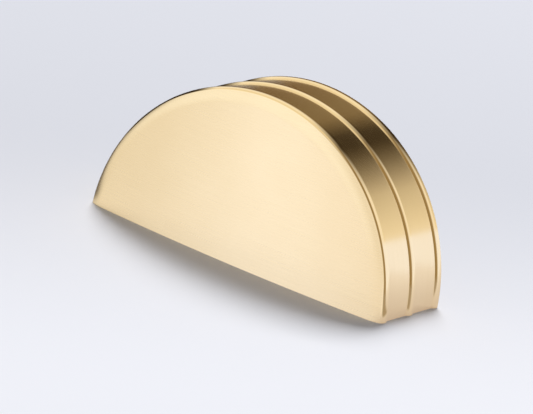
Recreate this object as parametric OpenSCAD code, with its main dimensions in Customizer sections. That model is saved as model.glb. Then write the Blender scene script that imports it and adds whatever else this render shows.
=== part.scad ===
// Half-moon cup pull, one solid brass casting.
// Three raised lips run round the arc with two plain bands between them, the middle and
// back lips a little wider than the front one. The face is slightly crowned, and the
// hollow behind it is open below for the fingers.
// Millimetres. The mounting plane is y = 0, the face looks towards -Y, and the origin
// is midway between the two fixing holes.

/* [Outline] */
// Outer radius of the front lip
rim_r = 50; // [44:0.5:70]
// How far the middle and back lips stand out beyond the front lip
lip_step = 0.4; // [0:0.05:0.5]
// Height of the straight lower edge above the centre of the arc
edge_rise = 1.75; // [0:0.25:5]

/* [Lips and bands] */
// Distance from one lip to the next
lip_pitch = 13.4; // [10:0.1:20]
// Width of the flat crest on the middle and back lips
lip_w = 1.2; // [1.2:0.1:3]
// Width of the flat crest on the front lip
front_lip_w = 1.4; // [0.8:0.1:3]
// Height of the front lip above the bands
lip_h = 0.7; // [0.3:0.05:0.8]
// Radius of the round that runs up the front of the middle and back lips
lip_front_r = 0.9; // [0.5:0.05:1]
// Radius on a lip's back corner
lip_back_r = 0.25; // [0.1:0.05:0.5]
// Radius of the fillets where the bands meet the lips
band_fillet_r = 0.5; // [0.3:0.05:0.8]

/* [Face] */
// Radius of the face's shallow crown
crown_r = 535; // [300:5:1500]
// Radius of the soft edge round the face
soft_edge_r = 8; // [4:0.5:12]
// Slope at which the soft edge turns into the corner
soft_edge_angle = 42; // [25:1:50]
// Radius of the corner between the soft edge and the front lip
corner_r = 0.8; // [0.5:0.1:2]

/* [Shell] */
// Thickness of the front wall
front_wall = 3; // [2:0.25:4]
// Thickness of the rim under the bands
rim_wall = 2.3; // [2:0.1:4]
// Radius of the corner inside the hollow
inner_r = 2.5; // [1:0.5:4]

/* [Fixing] */
// Distance between the two fixing holes
hole_pitch = 64; // [48:1:72]
// Diameter of the two bosses
boss_d = 9; // [7:0.5:12]
// How far the bosses are let into the rim
boss_bite = 0.8; // [0.4:0.1:1.5]
// Tapping diameter of the holes
hole_d = 3.3; // [2.5:0.1:5]
// Depth of the full hole
hole_l = 14; // [8:0.5:18]
// Width of the chamfer at each hole's mouth
mouth_chamfer = 0.5; // [0.2:0.1:0.8]

/* [Hidden] */
brass = [0.83, 0.68, 0.43];
lip_count = 3;
// Segments of an ordinary circle, and of the wide circles of the crown
round_fn = 180;
crown_fn = 1440;
// Tip angle of the drill that made the holes
drill_tip_angle = 118;
// Overlap that keeps joined shapes and cuts from ending on the same face
over = 1;
// Each round stands this much proud of the one before, so that they cross cleanly
joint_lift = 0.001;
// Share of a low step's height that its corner and its fillet may each take
step_share = 0.45;

band_r = rim_r - lip_h;
hollow_r = band_r - rim_wall;
// Back edge and radius of each lip, counted from the mounting plane forwards
function lip_back(i) = -i * lip_pitch;
function lip_r(i) = rim_r + (i < lip_count - 1 ? lip_step : 0);
function lip_rise(i) = lip_r(i) - band_r;
front_lip_back = lip_back(lip_count - 1);
widest_r = lip_r(0);
// Corner and fillet at the back of a lip, where its step down to the band is low
function back_corner_r(i) = min(lip_back_r, step_share * lip_rise(i));
function back_fillet_r(i) = min(band_fillet_r, step_share * lip_rise(i));
// How far ahead of a lip's crest the fillet at its foot is centred
slope_reach = lip_front_r + band_fillet_r - joint_lift;
function slope_run(i) = sqrt(pow(slope_reach, 2) - pow(slope_reach - lip_rise(i), 2));

// Direction at an angle from straight ahead towards the rim, in the profile's r and y
function ahead(angle) = [sin(angle), -cos(angle)];
// The corner touches the front lip, the soft edge touches the corner, the crown the edge
corner_c = [rim_r - corner_r, front_lip_back - front_lip_w];
soft_c = corner_c - (soft_edge_r - corner_r + joint_lift) * ahead(soft_edge_angle);
crown_reach = crown_r - soft_edge_r + joint_lift;
soft_start = asin(soft_c[0] / crown_reach);
crown_c = [0, soft_c[1] + crown_reach * cos(soft_start)];
projection = crown_r - crown_c[1];

// The hollow's crown is concentric with the face, and its corner touches crown and rim
hollow_crown_r = crown_r - front_wall;
inner_reach = hollow_crown_r - inner_r + joint_lift;
inner_start = asin((hollow_r - inner_r) / inner_reach);
inner_c = crown_c + inner_reach * ahead(inner_start);

// The bosses stand against the rim, at the height where hole_pitch brings them there
boss_path_r = hollow_r - boss_d / 2 + boss_bite;
hole_z = sqrt(pow(boss_path_r, 2) - pow(hole_pitch / 2, 2));

// Everything in front of the mounting plane that a crown of radius r closes, out to
// the round centred on edge_c
module crown_part(r, edge_c, edge_angle) {
  intersection() {
    translate(crown_c) circle(r = r, $fn = crown_fn);
    polygon([
      [0, 0],
      [0, crown_c[1] - r - over],
      crown_c + (r + over) * ahead(edge_angle),
      edge_c,
      [edge_c[0], 0]
    ]);
  }
}

// The face's soft edge, from straight ahead to the slope where the corner takes over
module soft_edge_part() {
  intersection() {
    translate(soft_c) circle(r = soft_edge_r, $fn = round_fn);
    polygon([
      soft_c,
      soft_c + 2 * soft_edge_r * ahead(0),
      soft_c + 2 * soft_edge_r * ahead(soft_edge_angle)
    ]);
  }
}

// Section of a lip with a crest of width w, rounded by front_r before the crest
module lip_profile(i, w, front_r) {
  y_back = lip_back(i);
  y_crest = y_back - w;
  back_r = back_corner_r(i);
  translate([hollow_r, y_crest]) square([lip_r(i) - hollow_r, w - back_r]);
  translate([hollow_r, y_crest]) square([lip_r(i) - back_r - hollow_r, w]);
  translate([lip_r(i) - back_r, y_back - back_r]) circle(r = back_r, $fn = round_fn);
  translate([lip_r(i) - front_r, y_crest]) circle(r = front_r, $fn = round_fn);
}

// Hollow slope from a band up to the round in front of a lip's crest
module front_slope(i) {
  round_c = [lip_r(i) - lip_front_r, lip_back(i) - lip_w];
  foot_c = [band_r + band_fillet_r - joint_lift, round_c[1] - slope_run(i)];
  difference() {
    polygon([foot_c, round_c, [band_r - over, round_c[1]], [band_r - over, foot_c[1]]]);
    translate(foot_c) circle(r = band_fillet_r, $fn = round_fn);
  }
}

// Fillet between the back of a lip and the band behind it
module back_fillet(i) {
  fillet_r = back_fillet_r(i);
  translate([band_r, lip_back(i)]) difference() {
    translate([-over, -over]) square(fillet_r + over);
    translate([fillet_r, fillet_r]) circle(r = fillet_r, $fn = round_fn);
  }
}

// Section of the whole pull with no hollow, from the axis out to the rim
module outer_profile() {
  crown_part(crown_r, soft_c, soft_start);
  soft_edge_part();
  lip_profile(lip_count - 1, front_lip_w, corner_r);
  translate([0, front_lip_back - over]) square([band_r, over - front_lip_back]);
  for (i = [0 : lip_count - 2]) {
    lip_profile(i, lip_w, lip_front_r);
    front_slope(i);
    back_fillet(i + 1);
  }
}

// Section of the hollow, carried past the mounting plane
module hollow_profile() {
  crown_part(hollow_crown_r, inner_c, inner_start);
  translate(inner_c) circle(r = inner_r, $fn = round_fn);
  translate([0, inner_c[1]]) square([hollow_r, over - inner_c[1]]);
}

// Turns a profile round the axis of the arc, which runs straight back
module turned() {
  rotate([-90, 0, 0]) rotate_extrude($fn = round_fn) children();
}

// Places a child that points backwards at each fixing hole
module at_holes() {
  for (side = [-1, 1])
    translate([side * hole_pitch / 2, 0, hole_z]) rotate([-90, 0, 0]) children();
}

// Tapping hole with the drill's pointed end and a chamfer at its mouth
module tapped_hole() {
  hole_r = hole_d / 2;
  tip_l = hole_r / tan(drill_tip_angle / 2);
  rotate_extrude($fn = round_fn) polygon([
    [0, -hole_l - tip_l],
    [hole_r, -hole_l],
    [hole_r, -mouth_chamfer],
    [hole_r + mouth_chamfer + over, over],
    [0, over]
  ]);
}

module cup_pull() {
  color(brass) translate([0, 0, -hole_z]) difference() {
    turned() outer_profile();
    // The hollow leaves the two bosses standing
    difference() {
      turned() hollow_profile();
      at_holes() translate([0, 0, -projection])
        cylinder(d = boss_d, h = projection + 2 * over, $fn = round_fn);
    }
    at_holes() tapped_hole();
    // Everything under the straight lower edge
    translate([-widest_r - over, -projection - over, -widest_r - over])
      cube([2 * (widest_r + over), projection + 2 * over, widest_r + over + edge_rise]);
  }
}

cup_pull();
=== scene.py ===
import math

import bmesh
import bpy
from mathutils import Matrix, Vector


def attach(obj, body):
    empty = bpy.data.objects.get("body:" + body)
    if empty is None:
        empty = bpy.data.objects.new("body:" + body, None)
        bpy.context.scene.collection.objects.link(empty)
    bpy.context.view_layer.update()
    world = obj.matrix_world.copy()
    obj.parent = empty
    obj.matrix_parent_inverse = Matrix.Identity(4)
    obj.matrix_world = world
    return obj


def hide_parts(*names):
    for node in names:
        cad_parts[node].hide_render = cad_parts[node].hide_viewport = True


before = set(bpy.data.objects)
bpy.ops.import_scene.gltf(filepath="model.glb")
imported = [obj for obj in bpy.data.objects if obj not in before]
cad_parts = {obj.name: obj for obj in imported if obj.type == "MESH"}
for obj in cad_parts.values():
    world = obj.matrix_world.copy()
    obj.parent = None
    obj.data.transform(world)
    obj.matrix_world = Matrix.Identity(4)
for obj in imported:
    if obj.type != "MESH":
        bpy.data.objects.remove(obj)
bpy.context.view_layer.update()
mm = 0.001
print("frame loaded:", sorted(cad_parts))

scene = bpy.context.scene
scene.view_settings.view_transform = "Standard"


# small helpers for shader nodes

def addNode(tree, kind, **settings):
    node = tree.nodes.new(kind)
    for name, value in settings.items():
        setattr(node, name, value)
    return node


def feed(tree, socket, value):
    if isinstance(value, bpy.types.NodeSocket):
        tree.links.new(value, socket)
    else:
        socket.default_value = value


def sums(tree, operation, a, b=0.0, clamp=False):
    node = addNode(tree, "ShaderNodeMath", operation=operation, use_clamp=clamp)
    feed(tree, node.inputs[0], a)
    feed(tree, node.inputs[1], b)
    return node.outputs[0]


def remap(tree, value, fromLow, fromHigh, toLow=0.0, toHigh=1.0, smooth=True):
    node = addNode(tree, "ShaderNodeMapRange")
    node.interpolation_type = "SMOOTHSTEP" if smooth else "LINEAR"
    feed(tree, node.inputs["Value"], value)
    node.inputs["From Min"].default_value = fromLow
    node.inputs["From Max"].default_value = fromHigh
    node.inputs["To Min"].default_value = toLow
    node.inputs["To Max"].default_value = toHigh
    return node.outputs["Result"]


def mixColours(tree, factor, a, b):
    node = addNode(tree, "ShaderNodeMix", data_type="RGBA")
    feed(tree, node.inputs[0], factor)
    for socket, colour in ((node.inputs[6], a), (node.inputs[7], b)):     # the colour sockets
        feed(tree, socket, (*colour, 1) if isinstance(colour, tuple) else colour)
    return node.outputs[2]


def limits(tree, angle, edges):
    # four angles in degrees: where it starts to show, is full, starts to fade and is gone
    start, full, fade, gone = (math.radians(e) for e in edges)
    rising = remap(tree, angle, start, full, smooth=False)
    falling = remap(tree, angle, fade, gone, 1.0, 0.0, smooth=False)
    return sums(tree, "MULTIPLY", rising, falling)


# brushed brass: fine streaks along one direction

brass = {
    "colour": (0.92, 0.75, 0.465), "darkColour": (0.89, 0.715, 0.43),
    "streakPerMm": 14.0, "streakLengthMm": 30.0,      # across and along the brushing
    "streakDetail": 3.0, "streakRoughness": 0.65,
    "cloudPerM": 60.0, "cloudDetail": 2.0,            # broad soft patches
    "streakShare": 0.7, "cloudShare": 0.3, "toneSpan": (0.35, 0.65),
    "roughSpan": (0.3, 0.7), "grainMm": 0.02,
}
finishes = {
    "face_brass": {"across": 2, "roughness": (0.255, 0.28), "anisotropy": 0.70, "bump": 0.008},
    "band_brass": {"across": 1, "roughness": (0.16, 0.21), "anisotropy": 0.60, "bump": 0.04},
    "lip_brass": {"across": 1, "roughness": (0.10, 0.13), "anisotropy": 0.30, "bump": 0.02},
}
faceFinish, bandFinish, lipFinish = range(len(finishes))


def brushedBrass(name):
    finish = finishes[name]
    mat = bpy.data.materials.new(name)
    mat.use_nodes = True
    tree = mat.node_tree
    shader = tree.nodes["Principled BSDF"]
    place = addNode(tree, "ShaderNodeTexCoord").outputs["Object"]
    stretch = addNode(tree, "ShaderNodeMapping")
    feed(tree, stretch.inputs["Vector"], place)
    scale = [1.0 / (brass["streakLengthMm"] * mm)] * 3
    scale[finish["across"]] = brass["streakPerMm"] / mm
    stretch.inputs["Scale"].default_value = scale
    streaks = addNode(tree, "ShaderNodeTexNoise")
    feed(tree, streaks.inputs["Vector"], stretch.outputs["Vector"])
    streaks.inputs["Scale"].default_value = 1.0
    streaks.inputs["Detail"].default_value = brass["streakDetail"]
    streaks.inputs["Roughness"].default_value = brass["streakRoughness"]
    streak = streaks.outputs["Fac"]
    cloud = addNode(tree, "ShaderNodeTexNoise")
    feed(tree, cloud.inputs["Vector"], place)
    cloud.inputs["Scale"].default_value = brass["cloudPerM"]
    cloud.inputs["Detail"].default_value = brass["cloudDetail"]
    tone = sums(tree, "ADD", sums(tree, "MULTIPLY", streak, brass["streakShare"]),
                sums(tree, "MULTIPLY", cloud.outputs["Fac"], brass["cloudShare"]))
    patch = remap(tree, tone, *brass["toneSpan"])
    colour = mixColours(tree, patch, brass["darkColour"], brass["colour"])
    feed(tree, shader.inputs["Base Color"], colour)
    low, high = finish["roughness"]
    roughness = remap(tree, streak, *brass["roughSpan"], high, low)
    feed(tree, shader.inputs["Roughness"], roughness)
    shader.inputs["Metallic"].default_value = 1.0
    shader.inputs["Anisotropic"].default_value = finish["anisotropy"]
    tangent = addNode(tree, "ShaderNodeCombineXYZ")
    tangent.inputs[finish["across"]].default_value = 1.0
    feed(tree, shader.inputs["Tangent"], tangent.outputs[0])
    grain = addNode(tree, "ShaderNodeBump")
    grain.inputs["Strength"].default_value = finish["bump"]
    grain.inputs["Distance"].default_value = brass["grainMm"] * mm
    feed(tree, grain.inputs["Height"], streak)
    feed(tree, shader.inputs["Normal"], grain.outputs["Normal"])
    return mat


brassKinds = [brushedBrass(name) for name in finishes]
print("brass finishes ready")


# the pull: one turned section cut off along the lower edge, with two bosses behind

pull = {
    "rimR": 50.35, "edgeRise": 1.75,        # lips' radius, lower edge above the arc's centre
    "lipPitch": 13.4, "lipW": 0.9, "frontLipW": 0.7, "lipH": 0.65,
    "lipFrontR": 2.4, "lipBackR": 0.25, "bandFilletR": 0.2,
    "stepShare": 0.45,        # most of a lip's height that its back corner or fillet takes
    "crownR": 535.0, "softR": 8.0, "softAngle": 32.0, "cornerR": 1.6,
    "crestR": 4.0, "crestAngle": 74.0,      # round on the front lip's crest
    "frontWall": 3.0, "rimWall": 2.7, "innerR": 2.5,
    "holePitch": 64.0, "bossD": 9.0, "bossBite": 0.8,
    "holeD": 3.3, "holeL": 14.0, "mouthChamfer": 0.5, "drillTip": 118.0,
    "over": 1.0,              # how far the drill runs out past the back
    "easedEdge": 0.1,         # ease on the cut edges
    "sharpAngle": 28.0, "sameR": 0.01,      # edges kept sharp, radii that count as one
    "turnSteps": 240, "holeSteps": 96,      # round the half circle, round a hole
    "crownSteps": 30, "softSteps": 14, "cornerSteps": 8, "crestSteps": 6,
    "backSteps": 6, "footSteps": 8, "roundSteps": 10,       # back, foot and front of a lip
    "innerSteps": 12, "hollowSteps": 16,
}

bandR = pull["rimR"] - pull["lipH"]
hollowR = bandR - pull["rimWall"]
bossR = pull["bossD"] / 2
bossPathR = hollowR - bossR + pull["bossBite"]
holeZ = math.sqrt(bossPathR ** 2 - (pull["holePitch"] / 2) ** 2)


def ahead(angle):
    # direction in the section, from straight ahead towards the rim
    return Vector((math.sin(angle), -math.cos(angle)))


# each round touches the next: crest, corner, soft edge, crown, then the hollow's corner
frontLipBack = -2 * pull["lipPitch"]
crestC = Vector((pull["rimR"] - pull["crestR"], frontLipBack - pull["frontLipW"]))
cornerC = crestC + (pull["crestR"] - pull["cornerR"]) * ahead(math.radians(pull["crestAngle"]))
softC = cornerC - (pull["softR"] - pull["cornerR"]) * ahead(math.radians(pull["softAngle"]))
crownReach = pull["crownR"] - pull["softR"]
softStart = math.asin(softC.x / crownReach)
crownC = Vector((0, softC.y + crownReach * math.cos(softStart)))
hollowCrownR = pull["crownR"] - pull["frontWall"]
innerReach = hollowCrownR - pull["innerR"]
innerStart = math.asin((hollowR - pull["innerR"]) / innerReach)
innerC = crownC + innerReach * ahead(innerStart)


def arc(centre, radius, start, end, steps):
    # start and end in degrees
    angles = [start + (end - start) * i / steps for i in range(steps + 1)]
    return [centre + radius * ahead(math.radians(a)) for a in angles]


def lipBackPart(i):
    yBack = -i * pull["lipPitch"]
    step = pull["stepShare"] * pull["lipH"]
    r = min(pull["lipBackR"], step)
    f = min(pull["bandFilletR"], step)
    out = arc(Vector((pull["rimR"] - r, yBack - r)), r, 90, 180, pull["backSteps"])
    if i > 0:
        out += arc(Vector((bandR + f, yBack + f)), f, 360, 270, pull["backSteps"])
    return out


def lipFrontPart(i):
    r, f = pull["lipFrontR"], pull["bandFilletR"]
    slope = math.acos((r + f - pull["lipH"]) / (r + f))
    roundC = Vector((pull["rimR"] - r, -i * pull["lipPitch"] - pull["lipW"]))
    footC = Vector((bandR + f, roundC.y - (r + f) * math.sin(slope)))
    slope = math.degrees(slope)
    out = arc(footC, f, 270, 270 - slope, pull["footSteps"])
    return out + arc(roundC, r, 90 - slope, 90, pull["roundSteps"])[1:]


def outsideSection():
    start = math.degrees(math.asin(pull["edgeRise"] / pull["crownR"]))
    soft, softEnd, crest = math.degrees(softStart), pull["softAngle"], pull["crestAngle"]
    out = arc(crownC, pull["crownR"], start, soft, pull["crownSteps"])
    out += arc(softC, pull["softR"], soft, softEnd, pull["softSteps"])[1:]
    out += arc(cornerC, pull["cornerR"], softEnd, crest, pull["cornerSteps"])[1:]
    out += arc(crestC, pull["crestR"], crest, 90, pull["crestSteps"])[1:]
    out += lipBackPart(2) + lipFrontPart(1)
    out += lipBackPart(1) + lipFrontPart(0)
    out += lipBackPart(0)
    return out


def insideSection():
    start = math.degrees(innerStart)
    stop = math.degrees(math.asin(pull["edgeRise"] / hollowCrownR))
    out = [Vector((hollowR, 0))]
    out += arc(innerC, pull["innerR"], 90, start, pull["innerSteps"])
    out += arc(crownC, hollowCrownR, start, stop, pull["hollowSteps"])[1:]
    return out


def addFace(bm, *corners):
    # corners that fall together at a pole count once
    return bm.faces.new(list(dict.fromkeys(corners)))


def turnedShell():
    outside = outsideSection()
    section = outside + insideSection()
    steps = pull["turnSteps"]
    bm = bmesh.new()
    verts = []
    for i, (r, y) in enumerate(section):
        if i in (0, len(section) - 1):      # the section starts and ends on the lower edge
            pole = bm.verts.new(Vector((0, y, pull["edgeRise"] - holeZ)) * mm)
            verts.append([pole] * (steps + 1))
            continue
        low = math.asin(pull["edgeRise"] / r)
        row = []
        for j in range(steps + 1):
            turn = low + (math.pi - 2 * low) * j / steps
            point = Vector((r * math.cos(turn), y, r * math.sin(turn) - holeZ))
            row.append(bm.verts.new(point * mm))
        verts.append(row)
    faceRows = pull["crownSteps"] + pull["softSteps"]
    onBand = [abs(p.x - bandR) < pull["sameR"] for p in section]
    for i in range(len(section) - 1):
        finish = lipFinish
        if i < faceRows:
            finish = faceFinish
        elif (onBand[i] and onBand[i + 1]) or i >= len(outside) - 1:
            finish = bandFinish
        for j in range(steps):
            face = addFace(bm, verts[i][j], verts[i][j + 1], verts[i + 1][j + 1], verts[i + 1][j])
            face.material_index = finish
    right = [row[0] for row in verts]
    left = [row[-1] for row in verts[1:-1]]
    foot = bm.faces.new(right + left[::-1])
    foot.material_index = bandFinish
    bm.normal_update()
    bmesh.ops.recalc_face_normals(bm, faces=bm.faces)
    bmesh.ops.bevel(bm, geom=list(foot.edges), offset=pull["easedEdge"] * mm, segments=2,
                    profile=0.5, affect="EDGES", clamp_overlap=True)
    bmesh.ops.triangulate(bm, faces=[f for f in bm.faces if len(f.verts) > 4])
    return bm


def meshObject(name, bm, materials):
    mesh = bpy.data.meshes.new(name)
    bm.to_mesh(mesh)
    bm.free()
    for mat in materials:
        mesh.materials.append(mat)
    obj = bpy.data.objects.new(name, mesh)
    scene.collection.objects.link(obj)
    return obj


def turnedTool(name, section, x):
    # a boss or drill turned about a line along Y through x, at the height of the holes
    bm = bmesh.new()
    steps = pull["holeSteps"]
    turns = [2 * math.pi * k / steps for k in range(steps)]
    rings = []
    for r, y in section:
        if r == 0:
            rings.append([bm.verts.new((x * mm, y * mm, 0))] * steps)
        else:
            points = [Vector((x + r * math.cos(a), y, r * math.sin(a))) for a in turns]
            rings.append([bm.verts.new(p * mm) for p in points])
    for a, b in zip(rings, rings[1:]):
        for k in range(steps):
            n = (k + 1) % steps
            addFace(bm, a[k], a[n], b[n], b[k])
    bmesh.ops.recalc_face_normals(bm, faces=bm.faces)
    return meshObject(name, bm, [brassKinds[bandFinish]])


def cutOrJoin(obj, tool, operation):
    step = obj.modifiers.new(operation.lower(), "BOOLEAN")
    step.operation = operation
    step.solver = "EXACT"
    step.object = tool
    bpy.context.view_layer.objects.active = obj
    bpy.ops.object.modifier_apply(modifier=step.name)
    bpy.data.objects.remove(tool)


shell = meshObject("cup_pull_brass", turnedShell(), brassKinds)
holeR = pull["holeD"] / 2
mouthR = holeR + pull["mouthChamfer"]
tipL = holeR / math.tan(math.radians(pull["drillTip"] / 2))
bossFront = innerC.y - pull["innerR"] - pull["frontWall"] / 2     # within the front wall
bossSection = [(0, bossFront), (bossR, bossFront), (bossR, 0), (0, 0)]
drillSection = [
    (0, -pull["holeL"] - tipL), (holeR, -pull["holeL"]), (holeR, -pull["mouthChamfer"]),
    (mouthR, 0), (mouthR, pull["over"]), (0, pull["over"]),
]
for x in (-pull["holePitch"] / 2, pull["holePitch"] / 2):
    cutOrJoin(shell, turnedTool("boss", bossSection, x), "UNION")
    cutOrJoin(shell, turnedTool("drill", drillSection, x), "DIFFERENCE")
shell.data.polygons.foreach_set("use_smooth", [True] * len(shell.data.polygons))
shell.data.set_sharp_from_angle(angle=math.radians(pull["sharpAngle"]))
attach(shell, "root")
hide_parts("cup_pull")
print("pull:", len(shell.data.polygons), "faces")


# camera at the photograph's angle, for a 533 x 414 image

shot = {
    "azimuth": 30.875, "elevation": 16.818, "roll": 12.562,
    "focalPx": 3849.8, "imageW": 533, "sensorMm": 36.0, "clipEnd": 20.0,
    "aim": (0, -30.3, -holeZ),              # mm, near the centre of the front arc
    "aside": (10.214, 16.844, 1068.488),    # mm, right, up and back from the aim
}


def viewAxes():
    az, el, roll = (math.radians(shot[k]) for k in ("azimuth", "elevation", "roll"))
    right = Vector((math.cos(az), math.sin(az), 0))
    back = Vector((math.sin(az) * math.cos(el), -math.cos(az) * math.cos(el), math.sin(el)))
    up = back.cross(right)
    x = math.cos(roll) * right + math.sin(roll) * up
    y = -math.sin(roll) * right + math.cos(roll) * up
    return x, y, back


lens = bpy.data.cameras.new("photo_camera")
lens.sensor_fit = "HORIZONTAL"
lens.sensor_width = shot["sensorMm"]
lens.lens = shot["focalPx"] * shot["sensorMm"] / shot["imageW"]
lens.clip_end = shot["clipEnd"]
camera = bpy.data.objects.new("photo_camera", lens)
scene.collection.objects.link(camera)
x, y, back = viewAxes()
along, above, away = shot["aside"]
place = (Vector(shot["aim"]) + along * x + above * y + away * back) * mm
camera.matrix_world = Matrix.Translation(place) @ Matrix((x, y, back)).transposed().to_4x4()
scene.camera = camera
print("camera placed")


# floor, with painted shade: a little darker towards the back and the left, standing in for the
# light falling off and a soft shadow left of the pull; distances in metres

floorLook = {
    "halfSize": 6.0, "gapMm": 0.05,         # gap under the lower edge
    "front": (0.885, 0.893, 0.935), "back": (0.675, 0.685, 0.73),
    "depthShare": 0.75, "asideShare": 1.1, "fade": (-0.18, 0.13),
}

# the floor as the metal mirrors it, as a painted reflection: a glow that only mirrored rays see,
# brighter than the floor before the pull, with painted shade beside it near the pull and a
# painted dark patch to the right
floorPaintedReflection = {
    "share": 0.8,
    "left": (0.83, 0.79, 0.75), "middle": (1.07, 1.105, 1.30), "right": (0.93, 0.90, 0.94),
    "skew": 0.6, "skewDepth": -0.03, "leftFade": (-0.07, 0.02), "rightFade": (0.02, 0.07),
    "level": (1.24, 1.13), "levelFade": (-0.25, -0.04),       # far and near
    # painted shade: the mirrored floor darkens close to the pull, as a contact shadow would
    "paintedContactShade": (0.68, 0.60, 0.61), "open": (1.03, 1.00, 1.08), "contactSize": 0.045,
    # a painted near-black patch in the mirrored floor, left of the pull
    "leftFloor": (0.06, 0.04, 0.02), "leftFloorFade": (-0.04, 0.04),
    "besideFade": (-0.045, -0.030),
    "besideShifts": ((-0.065, -0.050, 0.0, -0.010), (0.045, 0.055, 0.0, 0.010)),
    # painted dark patch in the mirrored floor, right of the pull
    "dark": (0.34, 0.25, 0.13), "darkFrom": (0.045, -0.018),
    "darkSector": (-44, -32, 6, 24), "darkFade": (0.0555, 0.0615),      # degrees from +X
}


def paintedFloorShade(tree, across, depth):
    # painted shade: the floor's colour darkens towards the back and the left
    fromLens = sums(tree, "SUBTRACT", sums(tree, "MULTIPLY", depth, floorLook["depthShare"]),
                    sums(tree, "MULTIPLY", across, floorLook["asideShare"]))
    fade = remap(tree, fromLens, *floorLook["fade"])
    return mixColours(tree, fade, floorLook["front"], floorLook["back"])


def paintedFrontReflection(tree, across, depth):
    # painted reflection: a bright glow before the pull, brighter far from it than near
    look = floorPaintedReflection
    fromFace = sums(tree, "SUBTRACT", depth, look["skewDepth"])
    alongFace = sums(tree, "SUBTRACT", across, sums(tree, "MULTIPLY", fromFace, look["skew"]))
    leftFade = remap(tree, alongFace, *look["leftFade"])
    rightFade = remap(tree, alongFace, *look["rightFade"])
    colour = mixColours(tree, leftFade, look["left"], look["middle"])
    colour = mixColours(tree, rightFade, colour, look["right"])
    glow = addNode(tree, "ShaderNodeVectorMath", operation="SCALE")
    feed(tree, glow.inputs[0], colour)
    feed(tree, glow.inputs["Scale"], remap(tree, depth, *look["levelFade"], *look["level"]))
    return glow.outputs[0]


def paintedBesideReflection(tree, place, across):
    look = floorPaintedReflection
    # painted shade: darker the nearer to the pull, and a painted near-black patch to its left
    distance = addNode(tree, "ShaderNodeVectorMath", operation="LENGTH")
    feed(tree, distance.inputs[0], place)
    near = sums(tree, "DIVIDE", look["contactSize"], distance.outputs["Value"])
    clear = sums(tree, "SUBTRACT", 1.0, near, clamp=True)
    colour = mixColours(tree, clear, look["paintedContactShade"], look["open"])
    fade = remap(tree, across, *look["leftFloorFade"])
    return mixColours(tree, fade, look["leftFloor"], colour)


def paintedDarkPatchMask(tree, across, depth):
    # painted dark patch: mirrored rays see a dark sector to the right of the pull
    look = floorPaintedReflection
    fromX, fromY = look["darkFrom"]
    sector = sums(tree, "ARCTAN2", sums(tree, "SUBTRACT", depth, fromY),
                  sums(tree, "SUBTRACT", across, fromX))
    fade = remap(tree, across, *look["darkFade"])
    return sums(tree, "MULTIPLY", limits(tree, sector, look["darkSector"]), fade)


def floorWithPaintedLight():
    mat = bpy.data.materials.new("floor_painted_shade_and_reflection")
    mat.use_nodes = True
    tree = mat.node_tree
    tree.nodes.clear()
    place = addNode(tree, "ShaderNodeTexCoord").outputs["Object"]
    where = addNode(tree, "ShaderNodeSeparateXYZ")
    feed(tree, where.inputs[0], place)
    across, depth = where.outputs["X"], where.outputs["Y"]
    paint = addNode(tree, "ShaderNodeBsdfDiffuse")
    feed(tree, paint.inputs["Color"], paintedFloorShade(tree, across, depth))
    behind = depth
    for shift in floorPaintedReflection["besideShifts"]:
        behind = sums(tree, "ADD", behind, remap(tree, across, *shift))
    colour = mixColours(tree, remap(tree, behind, *floorPaintedReflection["besideFade"]),
                        paintedFrontReflection(tree, across, depth), paintedBesideReflection(tree, place, across))
    # painted dark patch laid over the painted reflection
    colour = mixColours(tree, paintedDarkPatchMask(tree, across, depth), colour, floorPaintedReflection["dark"])
    # painted reflection: mirrored rays see this glow in place of the floor's paint
    glow = addNode(tree, "ShaderNodeEmission")
    feed(tree, glow.inputs["Color"], colour)
    ray = addNode(tree, "ShaderNodeLightPath")
    mirrored = sums(tree, "MULTIPLY", ray.outputs["Is Glossy Ray"], floorPaintedReflection["share"])
    choose = addNode(tree, "ShaderNodeMixShader")
    feed(tree, choose.inputs[0], mirrored)
    feed(tree, choose.inputs[1], paint.outputs[0])
    feed(tree, choose.inputs[2], glow.outputs[0])
    out = addNode(tree, "ShaderNodeOutputMaterial")
    feed(tree, out.inputs["Surface"], choose.outputs[0])
    return mat


floorGrid = bmesh.new()
bmesh.ops.create_grid(floorGrid, x_segments=1, y_segments=1, size=floorLook["halfSize"])
floor = meshObject("floor", floorGrid, [floorWithPaintedLight()])
floor.location.z = (pull["edgeRise"] - holeZ - floorLook["gapMm"]) * mm
print("floor laid")


# the room round it, and the cards that the metal mirrors, later ones over earlier ones; each
# is placed by the slope of the metal that shows it from the photograph's side: turn is the
# angle round the arc, lean the angle from the rim towards the front, aside the angle from the
# left to the right of the face

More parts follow.
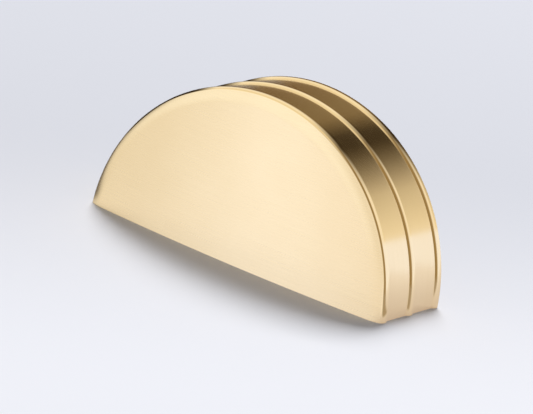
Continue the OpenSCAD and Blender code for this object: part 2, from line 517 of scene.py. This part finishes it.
studio = {
    "ambient": (0.225, 0.23, 0.25), "backdrop": (0.72, 0.735, 0.80),
    "room": (0.23, 0.165, 0.085),       # what the metal mirrors between the cards
}
cards = [
    {"turn": (78, 97, 180, 181), "lean": (-90, -80, 4, 12), "colour": (0.185, 0.11, 0.043)},
    {"turn": (-40, -30, 26, 60), "lean": (-90, -80, 20, 30), "colour": (1.00, 0.91, 0.74)},
    {"turn": (10, 24, 50, 66), "lean": (1, 7, 16, 26), "colour": (1.05, 1.00, 0.94)},
    {"turn": (-40, -30, 26.2, 27.2), "lean": (-90, -80, 16, 26), "colour": (1.07, 1.10, 1.28)},
    {"turn": (42, 60, 65, 73), "lean": (-90, -80, 8, 30), "colour": (0.05, 0.035, 0.018)},
    {"turn": (60, 75, 114, 122), "lean": (4, 13, 170, 180), "colour": (1.05, 1.00, 0.90)},
    {"turn": (50, 66, 104, 112), "lean": (26, 36, 42, 48), "colour": (0.95, 0.85, 0.66)},
    {"turn": (111, 119, 180, 181), "lean": (-90, -80, 42, 50), "colour": (0.03, 0.02, 0.01)},
    {"aside": (-60, -50, 40, 50), "lean": (46, 54, 170, 180), "colour": (1.18, 1.21, 1.30)},
    {"aside": (-61, -60, -30, 0), "lean": (46, 54, 170, 180), "colour": (1.02, 1.02, 1.03)},
    {"turn": (-40, -30, 52, 66), "lean": (37, 45, 62, 76), "colour": (0.98, 0.95, 0.93)},
    {"turn": (126, 140, 180, 181), "lean": (-90, -80, 54, 64), "colour": (0.03, 0.02, 0.01)},
    {"turn": (-40, -30, 50, 62), "lean": (18, 30, 38, 45), "colour": (0.36, 0.26, 0.13)},
]


def studioWorld(towardsLens):
    world = bpy.data.worlds.new("studio")
    scene.world = world
    world.use_nodes = True
    tree = world.node_tree
    tree.nodes.clear()
    halfway = addNode(tree, "ShaderNodeVectorMath", operation="ADD")
    feed(tree, halfway.inputs[0], addNode(tree, "ShaderNodeTexCoord").outputs["Generated"])
    feed(tree, halfway.inputs[1], towardsLens)
    unit = addNode(tree, "ShaderNodeVectorMath", operation="NORMALIZE")
    feed(tree, unit.inputs[0], halfway.outputs["Vector"])
    slope = addNode(tree, "ShaderNodeSeparateXYZ")
    feed(tree, slope.inputs[0], unit.outputs["Vector"])
    angles = {
        "turn": sums(tree, "ARCTAN2", slope.outputs["Z"], slope.outputs["X"]),
        "lean": sums(tree, "MULTIPLY", sums(tree, "ARCSINE", slope.outputs["Y"]), -1.0),
        "aside": sums(tree, "ARCSINE", slope.outputs["X"]),
    }
    colour = studio["room"]
    for card in cards:
        shown = [limits(tree, angles[k], card[k]) for k in angles if k in card]
        colour = mixColours(tree, sums(tree, "MULTIPLY", *shown), colour, card["colour"])
    ray = addNode(tree, "ShaderNodeLightPath")
    plain = mixColours(tree, ray.outputs["Is Camera Ray"], studio["ambient"], studio["backdrop"])
    seen = mixColours(tree, ray.outputs["Is Glossy Ray"], plain, colour)
    light = addNode(tree, "ShaderNodeBackground")
    feed(tree, light.inputs["Color"], seen)
    out = addNode(tree, "ShaderNodeOutputWorld")
    feed(tree, out.inputs["Surface"], light.outputs[0])


studioWorld(back)

keyLamp = {"place": (-1.3, 1.78, 3.36), "size": 1.8, "power": 165.0}       # m, m and W


def softLamp(name, look):
    data = bpy.data.lights.new(name, "AREA")
    data.shape = "SQUARE"
    data.size = look["size"]
    data.energy = look["power"]
    lamp = bpy.data.objects.new(name, data)
    lamp.location = look["place"]
    lamp.rotation_euler = (-Vector(look["place"])).to_track_quat("-Z", "Y").to_euler()
    lamp.visible_camera = False
    lamp.visible_glossy = False
    scene.collection.objects.link(lamp)


softLamp("key_lamp", keyLamp)
print("studio ready")
